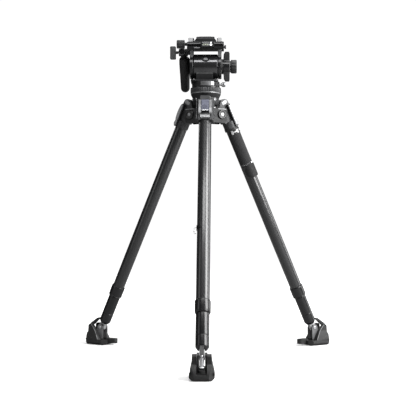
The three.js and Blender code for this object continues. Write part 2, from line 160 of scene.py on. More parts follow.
def turned(profile, sides=FINE, softness=0.6, closed=False):
    """A profile of (radius, height) turned about Z. One that starts and ends on the axis is solid."""
    outline = rounded(profile, softness, closed)
    loops = len(outline)
    points = []
    for i in range(sides):
        angle = 2 * math.pi * i / sides
        points += [(r * math.cos(angle), r * math.sin(angle), z) for r, z in outline]
    faces, uvs = [], []
    widest = max(r for r, _ in outline)
    travel = [0.0]
    for a, b in zip(outline, outline[1:] + outline[:1]):
        travel.append(travel[-1] + (Vector(a) - Vector(b)).length)
    for i in range(sides):
        u0 = 2 * math.pi * widest * i / sides
        u1 = 2 * math.pi * widest * (i + 1) / sides
        for j in range(loops if closed else loops - 1):
            k = (j + 1) % loops
            near, far = i * loops, ((i + 1) % sides) * loops
            faces.append([near + j, far + j, far + k, near + k])
            v0, v1 = travel[j], travel[j + 1]
            uvs.append([(u0, v0), (u1, v0), (u1, v1), (u0, v1)])
    return Shape(points, faces, uvs)


def rod(radius, z0, z1, softness=0.5, sides=FINE):
    return turned([(0, z0), (radius, z0), (radius, z1), (0, z1)], sides, softness)


def hoop(outer, inner, z0, z1, softness=0.5, sides=FINE):
    profile = [(inner, z0), (outer, z0), (outer, z1), (inner, z1)]
    return turned(profile, sides, softness, closed=True)


def slab(outline, y0, y1):
    """An outline of (x, z) pairs between two values of y."""
    n = len(outline)
    points = [(x, y0, z) for x, z in outline] + [(x, y1, z) for x, z in outline]
    sides = [[i, (i + 1) % n, n + (i + 1) % n, n + i] for i in range(n)]
    faces = [list(range(n))[::-1], list(range(n, 2 * n))] + sides
    return Shape(points, faces)


def plate(outline, z0, z1):
    """An outline of (x, y) pairs between two heights."""
    n = len(outline)
    points = [(x, y, z0) for x, y in outline] + [(x, y, z1) for x, y in outline]
    sides = [[i, (i + 1) % n, n + (i + 1) % n, n + i] for i in range(n)]
    return Shape(points, [list(range(n))[::-1], list(range(n, 2 * n))] + sides)


def block(x0, x1, y0, y1, z0, z1):
    return plate([(x0, y0), (x1, y0), (x1, y1), (x0, y1)], z0, z1)


def round_block(x0, x1, y0, y1, z0, z1, corner):
    return plate(rounded([(x0, y0), (x1, y0), (x1, y1), (x0, y1)], corner, steps=5), z0, z1)


def gripped(radius, depth, lobes, z0, z1, edge=1.2, fine=6):
    """A wheel whose rim has shallow scallops, eased in at both faces."""
    steps = lobes * fine * 2
    layers = [(z0, -edge), (z0 + edge * 0.3, -edge * 0.3), (z0 + edge, 0),
              (z1 - edge, 0), (z1 - edge * 0.3, -edge * 0.3), (z1, -edge)]
    points = []
    for z, inset in layers:
        for i in range(steps):
            angle = 2 * math.pi * i / steps
            dip = depth * (0.5 - 0.5 * math.cos(lobes * angle)) ** 2
            r = radius - dip + inset
            points.append((r * math.cos(angle), r * math.sin(angle), z))
    faces, uvs = [], []
    for k in range(len(layers) - 1):
        for i in range(steps):
            j = (i + 1) % steps
            faces.append([k * steps + i, k * steps + j, (k + 1) * steps + j, (k + 1) * steps + i])
            uvs.append([(i, k), (i + 1, k), (i + 1, k + 1), (i, k + 1)])
    top = (len(layers) - 1) * steps
    faces.append(list(range(steps))[::-1])
    uvs.append([(0, 0)] * steps)
    faces.append([top + i for i in range(steps)])
    uvs.append([(0, 0)] * steps)
    return Shape(points, faces, uvs)


def wrap(inner, outer, a0, a1, z0, z1, bend=24, corner=0.0):
    """A curved strip round the Z axis between two angles in degrees, its ends rounded by corner."""
    rows = 12
    points, faces, uvs = [], [], []
    for side, radius in enumerate((inner, outer)):
        for k in range(rows + 1):
            z = z0 + (z1 - z0) * k / rows
            off_end = min(z - z0, z1 - z)
            pull = 0.0
            if corner and off_end < corner:
                pull = corner - math.sqrt(max(corner ** 2 - (corner - off_end) ** 2, 0.0))
            shrink = math.degrees(pull / outer)
            for i in range(bend + 1):
                angle = math.radians(a0 + shrink + (a1 - a0 - 2 * shrink) * i / bend)
                points.append((radius * math.cos(angle), radius * math.sin(angle), z))
    wide = bend + 1
    layer = wide * (rows + 1)

    def corner_uv(i, k):
        return (math.radians(a1 - a0) * outer * i / bend, (z1 - z0) * k / rows)

    def face(corners, places):
        faces.append(corners)
        uvs.append([corner_uv(*p) for p in places])

    for k in range(rows):
        for i in range(bend):
            a, b = k * wide + i, k * wide + i + 1
            c, d = a + wide, b + wide
            spots = [(i, k), (i + 1, k), (i + 1, k + 1), (i, k + 1)]
            face([layer + a, layer + b, layer + d, layer + c], spots)
            face([c, d, b, a], [spots[3], spots[2], spots[1], spots[0]])
        left, right = k * wide, k * wide + bend
        face([left, layer + left, layer + left + wide, left + wide], [(0, k), (0, k), (0, k + 1), (0, k + 1)])
        face([right, right + wide, layer + right + wide, layer + right],
             [(bend, k), (bend, k + 1), (bend, k + 1), (bend, k)])
    end = rows * wide
    for i in range(bend):
        face([i, i + 1, layer + i + 1, layer + i], [(i, 0), (i + 1, 0), (i + 1, 0), (i, 0)])
        face([end + i, layer + end + i, layer + end + i + 1, end + i + 1],
             [(i, rows), (i, rows), (i + 1, rows), (i + 1, rows)])
    return Shape(points, faces, uvs)


# ---------- materials ----------

class Paint:
    """A small helper for building one material's nodes."""

    def __init__(self, name, color, rough, metal=0.0, coat=0.0, sheen=0.0, shine=0.5):
        self.material = bpy.data.materials.new(name)
        self.material.use_nodes = True
        self.tree = self.material.node_tree
        self.shader = self.tree.nodes["Principled BSDF"]
        self.set(self.shader, {"Base Color": (*color, 1), "Roughness": rough, "Metallic": metal,
                               "Coat Weight": coat, "Coat Roughness": 0.15, "Sheen Weight": sheen,
                               "Specular IOR Level": shine})
        self.color = color
        self.rough = rough

    @staticmethod
    def set(node, values):
        for key, value in values.items():
            node.inputs[key].default_value = value

    def add(self, kind, values=None, **settings):
        node = self.tree.nodes.new("ShaderNode" + kind)
        for key, value in settings.items():
            setattr(node, key, value)
        self.set(node, values or {})
        return node

    def wire(self, source, target):
        self.tree.links.new(source, target)

    def coordinates(self, kind="Object", stretch=(1, 1, 1), turn=(0, 0, 0)):
        place = self.add("TexCoord")
        mapping = self.add("Mapping", {"Scale": stretch, "Rotation": turn})
        self.wire(place.outputs[kind], mapping.inputs["Vector"])
        return mapping.outputs["Vector"]

    def noise(self, scale, detail=4.0, vector=None):
        node = self.add("TexNoise", {"Scale": scale, "Detail": detail, "Roughness": 0.6})
        self.wire(vector or self.coordinates(), node.inputs["Vector"])
        return node.outputs["Fac"]

    def spread(self, value, low, high, start=0.3, end=0.7):
        node = self.add("MapRange", {"From Min": start, "From Max": end, "To Min": low, "To Max": high})
        self.wire(value, node.inputs["Value"])
        return node.outputs["Result"]

    def math(self, operation, first, second=0.0):
        node = self.add("Math", operation=operation)
        for slot, value in zip(node.inputs, (first, second)):
            if isinstance(value, (int, float)):
                slot.default_value = value
            else:
                self.wire(value, slot)
        return node.outputs["Value"]

    def blend(self, factor, dark, light):
        node = self.add("Mix", data_type="RGBA")
        self.wire(factor, node.inputs["Factor"])
        for slot, color in ((node.inputs["A"], dark), (node.inputs["B"], light)):
            if isinstance(color, tuple):
                slot.default_value = (*color, 1)
            else:
                self.wire(color, slot)
        return node.outputs["Result"]

    def worn_edges(self, color, worn, start=0.53, end=0.62):
        shape = self.add("NewGeometry")
        edge = self.spread(shape.outputs["Pointiness"], 0.0, 1.0, start, end)
        broken = self.math("MULTIPLY", edge, self.spread(self.noise(60.0), 0.1, 1.0))
        return self.blend(broken, color, worn)

    def bump(self, height, strength, distance):
        node = self.add("Bump", {"Strength": strength, "Distance": distance})
        self.wire(height, node.inputs["Height"])
        self.wire(node.outputs["Normal"], self.shader.inputs["Normal"])

    def color_from(self, value):
        self.wire(value, self.shader.inputs["Base Color"])

    def rough_from(self, value):
        self.wire(value, self.shader.inputs["Roughness"])


def scaled(color, factor):
    return tuple(c * factor for c in color)


def powder_coat(name, color, rough=0.42, worn=3.0, metal=0.1):
    """Cast metal under a fine-textured dark coat, rubbed paler along its edges."""
    p = Paint(name, color, rough, metal=metal, shine=0.35)
    cloud = p.spread(p.noise(22.0), 0.0, 1.0)
    base = p.blend(cloud, scaled(color, 0.82), scaled(color, 1.18))
    p.color_from(p.worn_edges(base, scaled(color, worn)))
    p.rough_from(p.spread(p.noise(90.0), rough - 0.07, rough + 0.09))
    p.bump(p.noise(1900.0, 2.0), 0.22, 0.0002)
    return p.material


def anodised(name, color, rough=0.3, metal=0.75, worn=2.2):
    """Turned metal: a satin skin with hair-fine lines round the piece."""
    p = Paint(name, color, rough, metal=metal)
    lines = p.noise(1.0, 3.0, p.coordinates("UV", stretch=(0.02, 9.0, 1)))
    base = p.blend(p.spread(p.noise(18.0), 0, 1), scaled(color, 0.88), scaled(color, 1.12))
    p.color_from(p.worn_edges(base, scaled(color, worn)))
    p.rough_from(p.spread(lines, rough - 0.06, rough + 0.08))
    p.bump(lines, 0.05, 0.0001)
    return p.material


def carbon_weave(name, color):
    """Twill-woven carbon under satin lacquer: bundles pass over two and under two."""
    p = Paint(name, color, 0.3, coat=0.5)
    bundle = 1.9
    split = p.add("SeparateXYZ")
    p.wire(p.coordinates("UV", stretch=(1 / bundle, 1 / bundle, 1), turn=(0, 0, math.radians(20))),
           split.inputs["Vector"])
    across, along = split.outputs["X"], split.outputs["Y"]
    step = p.math("ADD", p.math("FLOOR", across), p.math("FLOOR", along))
    over = p.math("LESS_THAN", p.math("FLOORED_MODULO", step, 4.0), 2.0)
    across_hump = p.math("PINGPONG", across, 0.5)
    along_hump = p.math("PINGPONG", along, 0.5)
    hump = p.math("ADD", p.math("MULTIPLY", over, across_hump),
                  p.math("MULTIPLY", p.math("SUBTRACT", 1.0, over), along_hump))
    threads = p.noise(1.0, 2.0, p.coordinates("UV", stretch=(3.0, 0.05, 1)))
    tone = p.math("ADD", p.math("MULTIPLY", over, 0.5), p.math("MULTIPLY", threads, 0.5))
    spiral = p.noise(1.0, 2.0, p.coordinates("UV", stretch=(0.05, 0.009, 1), turn=(0, 0, 0.25)))
    shade = p.math("ADD", p.math("MULTIPLY", tone, 0.7), p.math("MULTIPLY", spiral, 0.5))
    p.color_from(p.blend(shade, scaled(color, 0.55), scaled(color, 1.5)))
    p.rough_from(p.spread(tone, 0.27, 0.4, 0.2, 0.8))
    p.bump(hump, 0.25, 0.0001)
    return p.material


def bright_steel(name, color, rough=0.24):
    p = Paint(name, color, rough, metal=0.95)
    lines = p.noise(1.0, 3.0, p.coordinates("Object", stretch=(60, 60, 1500)))
    p.color_from(p.blend(p.spread(p.noise(40.0), 0, 1), scaled(color, 0.85), color))
    p.rough_from(p.spread(lines, rough - 0.06, rough + 0.1))
    p.bump(lines, 0.06, 0.0001)
    return p.material


def moulded(name, color, rough=0.5, grain=1400.0, depth=0.3, worn=2.0, shine=0.5):
    """Moulded plastic or rubber with an even spark-eroded grain and paler rubbed edges."""
    p = Paint(name, color, rough, shine=shine)
    cloud = p.spread(p.noise(30.0), 0.0, 1.0)
    base = p.blend(cloud, scaled(color, 0.85), scaled(color, 1.15))
    p.color_from(p.worn_edges(base, scaled(color, worn)))
    cells = p.add("TexVoronoi", {"Scale": grain})
    p.wire(p.coordinates(), cells.inputs["Vector"])
    p.rough_from(p.spread(p.noise(140.0), rough - 0.08, rough + 0.1))
    p.bump(cells.outputs["Distance"], depth, 0.00015)
    return p.material


def woven(name, color):
    """Flat webbing: ribs across the strap, crossed by finer threads, with a soft sheen."""
    p = Paint(name, color, 0.8, sheen=0.06, shine=0.3)
    ribs = p.add("TexWave", {"Scale": 0.42, "Distortion": 0.3, "Detail": 1.0}, bands_direction="Y")
    p.wire(p.coordinates("UV"), ribs.inputs["Vector"])
    threads = p.add("TexWave", {"Scale": 0.7, "Distortion": 0.4, "Detail": 1.0}, bands_direction="X")
    p.wire(p.coordinates("UV"), threads.inputs["Vector"])
    weave = p.math("MULTIPLY", ribs.outputs["Fac"], threads.outputs["Fac"])
    cloud = p.spread(p.noise(50.0), -0.15, 0.15)
    p.color_from(p.blend(p.math("ADD", weave, cloud), scaled(color, 0.7), scaled(color, 1.35)))
    p.bump(weave, 0.5, 0.0003)
    return p.material


def level_fluid(name):
    p = Paint(name, (0.24, 0.26, 0.21), 0.12, coat=0.4)
    p.color_from(p.blend(p.noise(30.0), (0.20, 0.22, 0.17), (0.29, 0.31, 0.26)))
    return p.material


def clear_plastic(name):
    p = Paint(name, (0.92, 0.94, 0.95), 0.12, coat=0.5)
    p.color_from(p.blend(p.noise(25.0), (0.82, 0.85, 0.86), (0.95, 0.96, 0.97)))
    return p.material


LOOKS = {
    "cast": powder_coat("cast_coat", (0.009, 0.0093, 0.010), 0.5, 4.0),
    "cast_mid": powder_coat("mid_casting", (0.034, 0.0345, 0.036), 0.42, 2.6, 0.25),
    "cast_pale": powder_coat("pale_casting", (0.20, 0.202, 0.206), 0.34, 1.6, 0.4),
    "pale": powder_coat("pale_metal", (0.46, 0.463, 0.468), 0.34, 1.3, 0.3),
    "black": anodised("black_anodised", (0.007, 0.0072, 0.0078), 0.32, 0.1, 3.0),
    "satin": anodised("satin_anodised", (0.009, 0.0093, 0.010), 0.22, 0.05, 3.0),
    "drum": anodised("drum_anodised", (0.085, 0.0855, 0.088), 0.16, 0.85, 1.6),
    "carbon": carbon_weave("carbon_tube", (0.013, 0.0132, 0.014)),
    "steel": bright_steel("bright_steel", (0.58, 0.585, 0.60)),
    "screw": bright_steel("screw_steel", (0.26, 0.262, 0.268), 0.34),
    "plate_grey": anodised("lever_blue_grey", (0.095, 0.10, 0.135), 0.34, 0.3, 1.5),
    "rubber": moulded("shoe_rubber", (0.010, 0.010, 0.0103), 0.5, 1100.0),
    "strap_end": moulded("strap_end_leather", (0.006, 0.006, 0.0065), 0.62, 900.0, 0.35, 1.5, 0.3),
    "grip": moulded("grip_foam", (0.010, 0.010, 0.0105), 0.66, 1600.0, 0.5, 1.3),
    "plastic": moulded("black_plastic", (0.013, 0.0133, 0.014), 0.4),
    "knob_grey": moulded("knob_rubber", (0.060, 0.0605, 0.062), 0.45),
    "webbing": woven("strap_webbing", (0.017, 0.017, 0.018)),
    "stitch": woven("stitching", (0.34, 0.34, 0.345)),
    "fluid": level_fluid("level_fluid"),
    "clear": clear_plastic("level_bezel"),
    "label": anodised("label_plate", (0.30, 0.303, 0.307), 0.3, 0.5, 1.3),
}


# ---------- making pieces ----------

def build(name, shape, place, look, bevel=0.0, segments=2):
    """One object from a shape: placed, coloured, and its sharp edges rounded by bevel millimetres."""
    mesh = bpy.data.meshes.new(name)
    mesh.from_pydata([place @ p for p in shape.points], [], shape.faces)
    layer = mesh.uv_layers.new(name="wrap")
    flat = [uv for face in shape.uvs for uv in face]
    layer.data.foreach_set("uv", [c for uv in flat for c in uv])
    finish_mesh(mesh)
    piece = bpy.data.objects.new(name, mesh)
    bpy.context.scene.collection.objects.link(piece)
    return dress(piece, look, bevel, segments)


def finish_mesh(mesh, merge=1e-6):
    work = bmesh.new()
    work.from_mesh(mesh)
    bmesh.ops.remove_doubles(work, verts=work.verts, dist=merge)
    bmesh.ops.dissolve_degenerate(work, edges=work.edges, dist=merge)
    bmesh.ops.recalc_face_normals(work, faces=work.faces)
    for face in work.faces:
        face.smooth = True
    for edge in work.edges:
        edge.smooth = not edge.is_manifold or edge.calc_face_angle(0) < SMOOTH_ANGLE
    work.to_mesh(mesh)
    work.free()


def dress(piece, look, bevel, segments):
    piece.data.materials.clear()
    piece.data.materials.append(LOOKS[look])
    if bevel:
        soft = piece.modifiers.new("soft_edges", "BEVEL")
        soft.width = bevel * MM
        soft.segments = segments
        soft.limit_method = "ANGLE"
        soft.angle_limit = SMOOTH_ANGLE
        soft.harden_normals = True
        soft.miter_outer = "MITER_ARC"
    return piece


def node_copy(node, look, bevel=0.6, segments=2):
    """The CAD node's own shape with its flats cleaned and its edges softened."""
    mesh = frame["nodes"][node].data.copy()
    work = bmesh.new()
    work.from_mesh(mesh)
    bmesh.ops.remove_doubles(work, verts=work.verts, dist=2e-6)
    bmesh.ops.dissolve_limit(work, angle_limit=math.radians(1.5), verts=work.verts, edges=work.edges)
    work.to_mesh(mesh)
    work.free()
    finish_mesh(mesh)
    piece = bpy.data.objects.new(node + "_fine", mesh)
    bpy.context.scene.collection.objects.link(piece)
    dress(piece, look, bevel, segments)
    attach(piece, body_of[node])
    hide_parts(node)
    return piece


body_of = {
    node: body
    for body, nodes in frame["record"]["behaviour"]["bodies"].items()
    for node in nodes
}


def stand_for(node, name, shape, place, look, bevel=0.0):
    """A fine piece that takes a CAD node's place."""
    piece = build(name, shape, place, look, bevel)
    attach(piece, body_of[node])
    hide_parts(node)
    return piece


def trim(body, name, shape, place, look, bevel=0.0):
    """A fine piece added beside the CAD nodes, riding on a body."""
    piece = build(name, shape, place, look, bevel)
    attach(piece, body)
    return piece


# ---------- legs ----------

def wire(body, name, spots, place, radius, look):
    """A round bead or wire that runs smoothly through the given spots."""
    curve = bpy.data.curves.new(name, "CURVE")
    curve.dimensions = "3D"
    curve.bevel_depth = radius * MM
    curve.bevel_resolution = 4
    curve.use_fill_caps = True
    line = curve.splines.new("NURBS")
    line.points.add(len(spots) - 1)
    line.use_endpoint_u = True
    line.order_u = 3
    for point, spot in zip(line.points, spots):
        point.co = (*(place @ Vector(spot)), 1)
    piece = bpy.data.objects.new(name, curve)
    bpy.context.scene.collection.objects.link(piece)
    piece.data.materials.append(LOOKS[look])
    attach(piece, body)


def node_z(node, place):
    low, high = local_span(node, place)
    return low.z, high.z


def socket_screw(radius, height):
    """A cap screw seen from its head, its hexagon sunk in the middle."""
    hexagon = [(radius * 0.5 * math.cos(math.pi * k / 3), radius * 0.5 * math.sin(math.pi * k / 3))
               for k in range(6)]
    head = turned([(radius * 0.62, 0), (radius, 0), (radius, height), (radius * 0.62, height)],
                  28, 0.2, closed=True)
    floor = rod(radius * 0.64, 0, height * 0.45, 0.1, 28)
    return head + floor + plate(hexagon, 0, height * 0.8)


def leg_head(side, place):
    body = f"leg_{side}"
    node_copy(f"leg_head_{side}", "cast_mid", 1.1, 3)
    reach = local_span(f"hinge_pin_{side}", place)[1].y
    seat = reach - 3.7
    cap = turned([(0, seat), (13, seat), (13, reach - 1.4), (11.6, reach), (8.6, reach),
                  (8.2, reach - 1.5), (0, reach - 1.5)], 48, 0.5)
    shank = rod(4, -seat - 0.2, seat + 0.2)
    both = cap + cap.turn("X", 180) + shank
    stand_for(f"hinge_pin_{side}", f"hinge_caps_{side}", both.along_y(), place, "black")
    screw = socket_screw(4.4, 1.3).at(z=reach - 1.5)
    for name, shape in (("near", screw), ("far", screw.turn("X", 180))):
        trim(body, f"hinge_screw_{side}_{name}", shape.along_y(), place, "screw")
    face = plate_strip(44.0, 12.5, -43.4, -35.4, 1.1)
    trim(body, f"head_plate_{side}", face, place, "label", 0.5)
    for k in range(2):
        slot = plate_strip(44.9, 10.8, -41.6 + k * 3.2, -40.6 + k * 3.2, 0.35)
        trim(body, f"head_slot_{side}_{k + 1}", slot, place, "cast_mid", 0.15)
    for way, word in ((-1, "near"), (1, "far")):
        inner_edge, outer_edge = sorted((way * 11.2, way * 17.5))
        cheek = slab(rounded([(38.2, -31), (42.2, -28), (43.6, -12), (43.0, 4), (40.5, 15), (38.2, 17)], 2.5),
                     inner_edge, outer_edge)
        trim(body, f"lever_cheek_{side}_{word}", cheek, place, "cast_pale", 1.8)
        flank = block(30, 36.5, way * 23.45 - 0.35, way * 23.45 + 0.35, -43, 15)
        trim(body, f"shell_flank_{side}_{word}", flank, place, "cast_pale", 0.3)
    # A black bar under the lever: painted shade at the bottom of the lever's recess.
    recess_shade = block(38.3, 41.6, -17, 17, -33.4, -28.4)
    trim(body, f"lever_recess_shade_{side}", recess_shade, place, "black", 1.2)
    crest = slab(rounded([(17, 30), (31, 33.2), (35.6, 30.6), (36.6, 24), (30, 21), (18, 21)], 3.0),
                 -13.5, 13.5)
    trim(body, f"head_crest_{side}", crest, place, "cast_pale", 0.8)
    rivet = rod(2.4, 12.9, 14.0, 0.3, 24)
    for word, shape in (("far", rivet), ("near", rivet.turn("X", 180))):
        trim(body, f"head_rivet_{side}_{word}", shape.along_y().at(26, 0, 27), place,
             "screw")


def plate_strip(x, half, z0, z1, thick):
    return block(x - LIP_BEHIND, x + thick, -half, half, z0, z1)


def release_lever(side, place):
    low, high = local_span(f"release_lever_{side}", place)
    base = low.x
    body = slab(rounded([
        (base, high.z - 1), (base + 4, high.z), (base + 6, high.z - 3), (base + 5.2, -16),
        (base + 8, -21), (base + 7, low.z), (base + 2, -22), (base, -18),
    ], 1.4), -10, 10)
    stand_for(f"release_lever_{side}", f"lever_plate_{side}", body, place, "plate_grey",
              0.7)
    lip = slab(rounded([
        (base + 5.9, -17.5), (base + 8.4, -21.2), (base + 7.6, -24.2), (base + 6.8, -24), (base + 5, -18),
    ], 0.6), -9.2, 9.2)
    trim(f"lever_{side}", f"lever_lip_{side}", lip, place, "steel", 0.3)
    for k in range(5):
        rib = block(base + 5.2, base + 5.95 + k * 0.03, -6.5, 6.5, -13.5 + k * 2.1, -12.6 + k * 2.1)
        trim(f"lever_{side}", f"lever_rib_{side}_{k + 1}", rib, place, "plate_grey", 0.2)
    pin = rod(1.5, -10.6, 10.6, 0.3, 20).along_y().at(base + 2, 0, 13)
    trim(f"lever_{side}", f"lever_pin_{side}", pin, place, "steel")


def on_tube(shape):
    return shape.at(x=TUBE_X)


def tubes(side, place):
    z0, z1 = node_z(f"leg_tube_{side}", place)
    tube = on_tube(hoop(TUBE_R, TUBE_R - 2, z0, z1, 0.3, 96))
    stand_for(f"leg_tube_{side}", f"carbon_tube_{side}", tube, place, "carbon")
    z0, z1 = node_z(f"inner_tube_{side}", place)
    inner = on_tube(hoop(14, 12.5, z0, z1, 0.3, 80))
    stand_for(f"inner_tube_{side}", f"carbon_stage_{side}", inner, place, "carbon")

    z0, z1 = node_z(f"collar_{side}", place)
    collar = turned([
        (14.5, z0), (18.2, z0), (19.3, z0 + 1.4), (19.5, z0 + 3.2), (18.9, z0 + 3.6),
        (18.9, z0 + 4.4), (19.5, z0 + 4.8), (19.5, z1 - 2.6), (18.6, z1 - 0.5), (17.35, z1),
        (17.35, z0 + 8.3), (14.5, z0 + 8.3),
    ], 96, 0.35, closed=True)
    stand_for(f"collar_{side}", f"tube_collar_{side}", on_tube(collar), place, "satin")
    wiper = hoop(16.9, 14.2, z0 - 0.2, z0 + 1.0, 0.2)
    trim(f"leg_{side}", f"wiper_ring_{side}", on_tube(wiper), place, "rubber")

    z0, z1 = node_z(f"sleeve_{side}", place)
    sleeve = turned([
        (0, z0), (16.0, z0), (16.6, z0 + 0.6), (16.6, z1 - 1.4), (15.8, z1), (14.3, z1),
        (14.3, z0 + 4), (0, z0 + 4),
    ], 96, 0.35)
    stand_for(f"sleeve_{side}", f"boot_sleeve_{side}", on_tube(sleeve), place, "satin")
    seam = hoop(15.9, 13.0, z0 - 1.0, z0 + 0.6, 0.1)
    trim(f"lower_{side}", f"seam_ring_{side}", on_tube(seam), place, "rubber")


def ankle(side, place):
    low, high = local_span(f"ankle_{side}", place)
    top = high.z
    end = top - 35.7
    barrel = turned([
        (0, end), (10.4, end), (12.2, end + 1.2), (16.3, end + 7.6), (16.6, end + 9.2),
        (16.6, top - 1.3), (15.8, top), (0, top),
    ], 96, 0.4)
    pin_z = low.z + 9
    tab = slab(rounded([(-8, end + 4), (8, end + 4), (8, pin_z)], 0.1, closed=False)
               + [(9 * math.cos(math.radians(a)), pin_z + 9 * math.sin(math.radians(a)))
                  for a in range(0, -181, -12)] + [(-8, pin_z)], -6.5, 6.5)
    stand_for(f"ankle_{side}", f"ankle_barrel_{side}", on_tube(barrel), place, "satin")
    trim(f"lower_{side}", f"ankle_eye_{side}", on_tube(tab), place, "pale", 0.7)
    z0, z1 = node_z(f"ground_spike_{side}", place)
    spike = turned([(0, z0), (0.9, z0 + 0.5), (4.4, z0 + 12), (4.6, z0 + 15), (4.6, z1 - 4),
                    (2.7, z1 - 3.6), (2.7, z1), (0, z1)], 40, 0.3)
    stand_for(f"ground_spike_{side}", f"spike_{side}", on_tube(spike), place, "black")


def shoe(side):
    place = SHOE[side]
    body = f"foot_{side}"
    node_copy(f"shoe_{side}", "rubber", 1.3, 3)
    for way, word in ((-1, "near"), (1, "far")):
        def face(shape):
            return shape.flip_y() if way < 0 else shape
        disc = rod(10.5, 22.0, 23.3, 0.8, 56).turn("X", -90).at(388, 0, 44)
        trim(body, f"shoe_disc_{side}_{word}", face(disc), place, "rubber")
        bracket = slab(rounded([
            (ANKLE.x - 10, 17.5), (ANKLE.x + 12, 17.5), (ANKLE.x + 9.6, ANKLE.z + 2),
            (ANKLE.x + 5, ANKLE.z + 9.5), (ANKLE.x - 5, ANKLE.z + 9.5), (ANKLE.x - 9.6, ANKLE.z + 2),
        ], 3.0), 7.1, 7.45)
        outer = slab(rounded([
            (ANKLE.x - 9, 16.5), (ANKLE.x + 15, 16.5), (ANKLE.x + 9.6, ANKLE.z + 2),
            (ANKLE.x + 5, ANKLE.z + 9.3), (ANKLE.x - 5, ANKLE.z + 9.3), (ANKLE.x - 9.2, ANKLE.z + 2),
        ], 3.0), 11.8, 12.6)
        trim(body, f"shoe_bracket_{side}_{word}", face(bracket + outer), place, "cast_pale",
             0.2)
        rib = slab(rounded([
            (346, 13), (348, 10.5), (397, 10.5), (404, 16), (401, 19.5), (372, 14.5), (352, 14),
        ], 1.2), 28.6, 29.4)
        trim(body, f"shoe_rib_{side}_{word}", face(rib), place, "rubber", 0.3)
        # A pale bead along each cheek's front edge: painted highlight where that edge catches the light.
        edge = [(359, 28.6, 17), (366, 26.0, 31), (375, 22.7, 46), (387, 22.4, 59)]
        wire(body, f"shoe_highlight_bead_{side}_{word}", [(x, y * way, z) for x, y, z in edge],
             place, 0.9, "cast_pale")
        # A black bead along the groove across the upper heel: painted shade in the groove.
        heel_line_shade = [(397, 26.3, 30), (390, 27.0, 25), (380, 28.2, 19)]
        wire(body, f"shoe_heel_line_shade_{side}_{word}", [(x, y * way, z) for x, y, z in heel_line_shade],
             place, 0.8, "black")
    pin = rod(3, -14.2, 14.2, 0.3, 32) + turned(
        [(0, 12.7), (5.2, 12.7), (5.2, 13.8), (4.4, 14.4), (0, 14.4)], 32, 0.3) + turned(
        [(0, -14.4), (4.4, -14.4), (5.2, -13.8), (5.2, -12.7), (0, -12.7)], 32, 0.3)
    stand_for(f"ankle_pin_{side}", f"ankle_bolt_{side}", pin.along_y().at(ANKLE.x, 0, ANKLE.z),
              place, "steel")
    low, high = local_span(f"shoe_latch_{side}", place)
    rod_x = high.x - 5
    bar = turned([(0, low.z + 3), (5, low.z + 3), (5, 58), (4, 60), (0, 60)], 40, 0.6)
    tongue = slab(rounded([
        (rod_x - 4.6, 55), (rod_x + 5, 54), (rod_x + 3.4, 60.5), (379, 77.5), (373, high.z),
        (low.x, 75.5), (376, 72),
    ], 1.6), -5, 5)
    stand_for(f"shoe_latch_{side}", f"latch_bar_{side}", bar.at(x=rod_x), place, "steel")
    trim(f"latch_{side}", f"latch_tongue_{side}", tongue, place, "plastic", 0.7)
    tip = turned([(0, low.z), (4.2, low.z), (5.2, low.z + 1), (5.2, low.z + 3.4), (0, low.z + 3.4)],
                 40, 0.4)
    trim(f"latch_{side}", f"latch_tip_{side}", tip.at(x=rod_x), place, "clear")


# ---------- what two of the legs wear ----------

def strap():
    place = LEG["right"]
    body = "leg_right"
    low, high = local_span("strap_loop", place)
    inner = TUBE_R + WORN_GAP
    loop = turned([
        (inner, low.z), (inner + 2.6, low.z), (inner + 2.9, low.z + 1.6), (inner + 2.2, low.z + 3.2),
        (inner + 2.9, low.z + 4.8), (inner + 2.6, high.z), (inner, high.z),
    ], 80, 0.5, closed=True)
    stand_for("strap_loop", "loop_band", on_tube(loop), place, "rubber")

    low, high = local_span("strap_buckle", place)
    bars = on_tube(wrap(inner, inner + 3.4, -160, 20, high.z - 2.4, high.z, 40))
    bars += on_tube(wrap(inner, inner + 3.4, -160, 20, low.z, low.z + 2.2, 40))
    for middle in (-154, 13):
        bars += on_tube(wrap(inner, inner + 3.2, middle - 5, middle + 5, low.z + 1, high.z - 1, 6))
    stand_for("strap_buckle", "buckle_frame", bars, place, "black", 0.6)
    middle = (low.z + high.z) / 2
    for name, angle in (("a", -126), ("b", -76)):
        post = on_tube(wrap(inner + 1, inner + 3.9, angle - 8, angle + 8, low.z + 0.2, high.z - 0.2, 8))
        trim(body, f"buckle_post_{name}", post, place, "pale", 0.5)
    cross = on_tube(wrap(inner + 1, inner + 3.7, -120, -82, middle - 2.0, middle + 2.0, 10))
    trim(body, "buckle_cross", cross, place, "pale", 0.5)
    under = on_tube(wrap(inner, inner + 1.6, -152, 12, low.z + 0.4, high.z - 0.4, 36))
    trim(body, "buckle_webbing", under, place, "webbing")

    low, high = local_span("leg_strap", place)
    tail_top = low.z + 38
    web = on_tube(wrap(inner, inner + 2.3, -172, 15, tail_top - 2, high.z, 48))
    stand_for("leg_strap", "strap_web", web, place, "webbing", 0.5)
    for angle in (-170.2, 13.2):
        edge = on_tube(wrap(inner + 1.6, inner + 2.55, angle - 1.7, angle + 1.7, tail_top, high.z, 3))
        trim(body, f"strap_selvedge_{'a' if angle < 0 else 'b'}", edge, place, "webbing", 0.4)
    tail = on_tube(wrap(inner, inner + 4.6, -147, 8, low.z, tail_top, 44, corner=17))
    trim(body, "strap_tail", tail, place, "strap_end", 0.9)
    for row, z in enumerate((tail_top + 1.6, tail_top + 4.4)):
        for k in range(24):
            at = -164 + k * 7.2
            stitch = on_tube(wrap(inner + 2.0, inner + 2.55, at, at + 3.8, z, z + 0.7, 3))
            trim(body, f"strap_stitch_{row + 1}_{k + 1}", stitch, place, "stitch")
    stud = rod(3.2, inner + 1.4, inner + 4.0, 0.8, 28).along_x().turn("Z", -64)
    trim(body, "strap_stud", on_tube(stud.at(z=tail_top + 3)), place, "steel")


